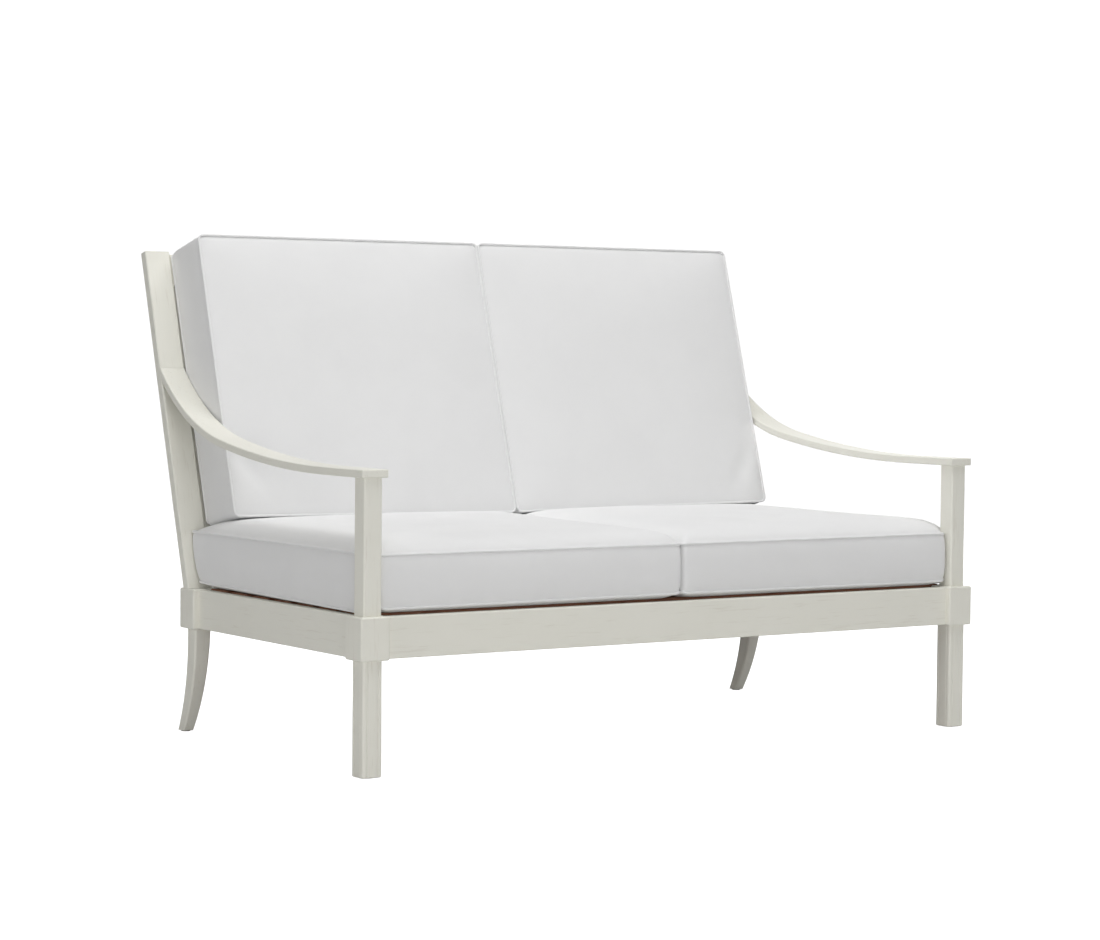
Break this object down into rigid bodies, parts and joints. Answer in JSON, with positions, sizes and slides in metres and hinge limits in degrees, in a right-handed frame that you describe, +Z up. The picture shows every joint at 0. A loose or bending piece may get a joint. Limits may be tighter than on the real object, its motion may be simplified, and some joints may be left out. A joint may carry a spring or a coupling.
{
  "type": "patio loveseat",
  "caption": "Painted wooden patio loveseat with leaning back, swept arms, saber rear legs and loose welted box cushions on a slatted seat.",
  "frame": {"origin": "on the floor under the middle of the loveseat's overall box", "axes": "+X to the right of someone facing the seat, +Y to the back, +Z up; left is -X"},
  "size_m": [1.479, 0.9282, 1.0141],
  "materials": {
    "painted_wood": "ivory paint brushed on wood, satin",
    "deck_wood": "bare reddish-brown hardwood, oiled",
    "cover_fabric": "off-white plain woven outdoor fabric, matte",
    "foam": "open-cell foam core, matte",
    "glide_plastic": "dark hard plastic"
  },
  "bodies": {
    "frame": {"front_left_leg": "painted_wood", "front_right_leg": "painted_wood", "rear_left_leg": "painted_wood", "rear_right_leg": "painted_wood", "front_left_block": "painted_wood", "front_right_block": "painted_wood", "rear_left_block": "painted_wood", "rear_right_block": "painted_wood", "front_left_post": "painted_wood", "front_right_post": "painted_wood", "left_stile": "painted_wood", "right_stile": "painted_wood", "left_arm": "painted_wood", "right_arm": "painted_wood", "front_rail": "painted_wood", "rear_rail": "painted_wood", "left_rail": "painted_wood", "right_rail": "painted_wood", "back_top_rail": "painted_wood", "back_low_rail": "painted_wood", "back_slat_1": "painted_wood", "back_slat_2": "painted_wood", "back_slat_3": "painted_wood", "back_slat_4": "painted_wood", "back_slat_5": "painted_wood", "back_slat_6": "painted_wood", "back_slat_7": "painted_wood", "back_slat_8": "painted_wood", "back_slat_9": "painted_wood", "back_slat_10": "painted_wood", "back_slat_11": "painted_wood", "back_slat_12": "painted_wood", "seat_slat_1": "deck_wood", "seat_slat_2": "deck_wood", "seat_slat_3": "deck_wood", "seat_slat_4": "deck_wood", "seat_slat_5": "deck_wood", "seat_slat_6": "deck_wood", "seat_slat_7": "deck_wood", "left_cleat": "deck_wood", "right_cleat": "deck_wood", "seat_stretcher": "deck_wood", "foot_glides": "glide_plastic"},
    "seat_left_cushion": {"seat_left_cover": "cover_fabric", "seat_left_core": "foam"},
    "seat_right_cushion": {"seat_right_cover": "cover_fabric", "seat_right_core": "foam"},
    "back_left_cushion": {"back_left_cover": "cover_fabric", "back_left_core": "foam"},
    "back_right_cushion": {"back_right_cover": "cover_fabric", "back_right_core": "foam"}
  },
  "joints": [
    {"name": "seat_left_lift", "type": "slide", "parent": "frame", "child": "seat_left_cushion", "axis": [0, 0, 1], "range_m": [0, 0.1]},
    {"name": "seat_right_lift", "type": "slide", "parent": "frame", "child": "seat_right_cushion", "axis": [0, 0, 1], "range_m": [0, 0.1]},
    {"name": "back_left_lift", "type": "slide", "parent": "seat_left_cushion", "child": "back_left_cushion", "axis": [0, 0.284, 0.9588], "range_m": [0, 0.35]},
    {"name": "back_right_lift", "type": "slide", "parent": "seat_right_cushion", "child": "back_right_cushion", "axis": [0, 0.284, 0.9588], "range_m": [0, 0.35]}
  ]
}
